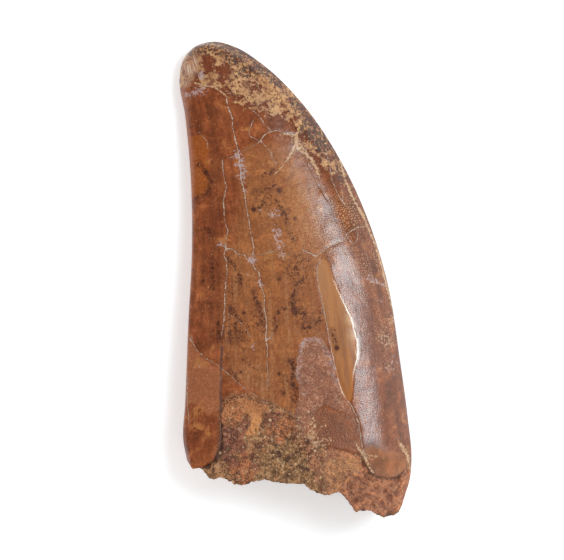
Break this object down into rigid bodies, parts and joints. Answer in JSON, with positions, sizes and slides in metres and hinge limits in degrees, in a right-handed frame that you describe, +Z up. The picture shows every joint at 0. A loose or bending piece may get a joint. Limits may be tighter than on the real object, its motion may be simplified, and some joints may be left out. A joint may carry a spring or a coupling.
{
  "type": "fossil dinosaur tooth",
  "caption": "Curved fossil tooth with a worn, rounded tip, cracked red-brown enamel and a broken root filled with sandstone, lying on its side.",
  "frame": {"origin": "centre of the bounding box, on the surface that the tooth lies on", "axes": "+X from the straight cutting edge to the bowed one, +Y from the broken root to the tip, +Z up from the surface, through the tooth's thickness"},
  "size_m": [0.0466, 0.0948, 0.018],
  "materials": {
    "tooth": "polished red-brown enamel with ochre mottling and fine pale cracks, matt where it is worn through",
    "sandstone": "rough cemented sand in tan, olive and rust"
  },
  "bodies": {
    "root": {"tooth": "tooth", "sandstone": "sandstone"}
  },
  "joints": []
}
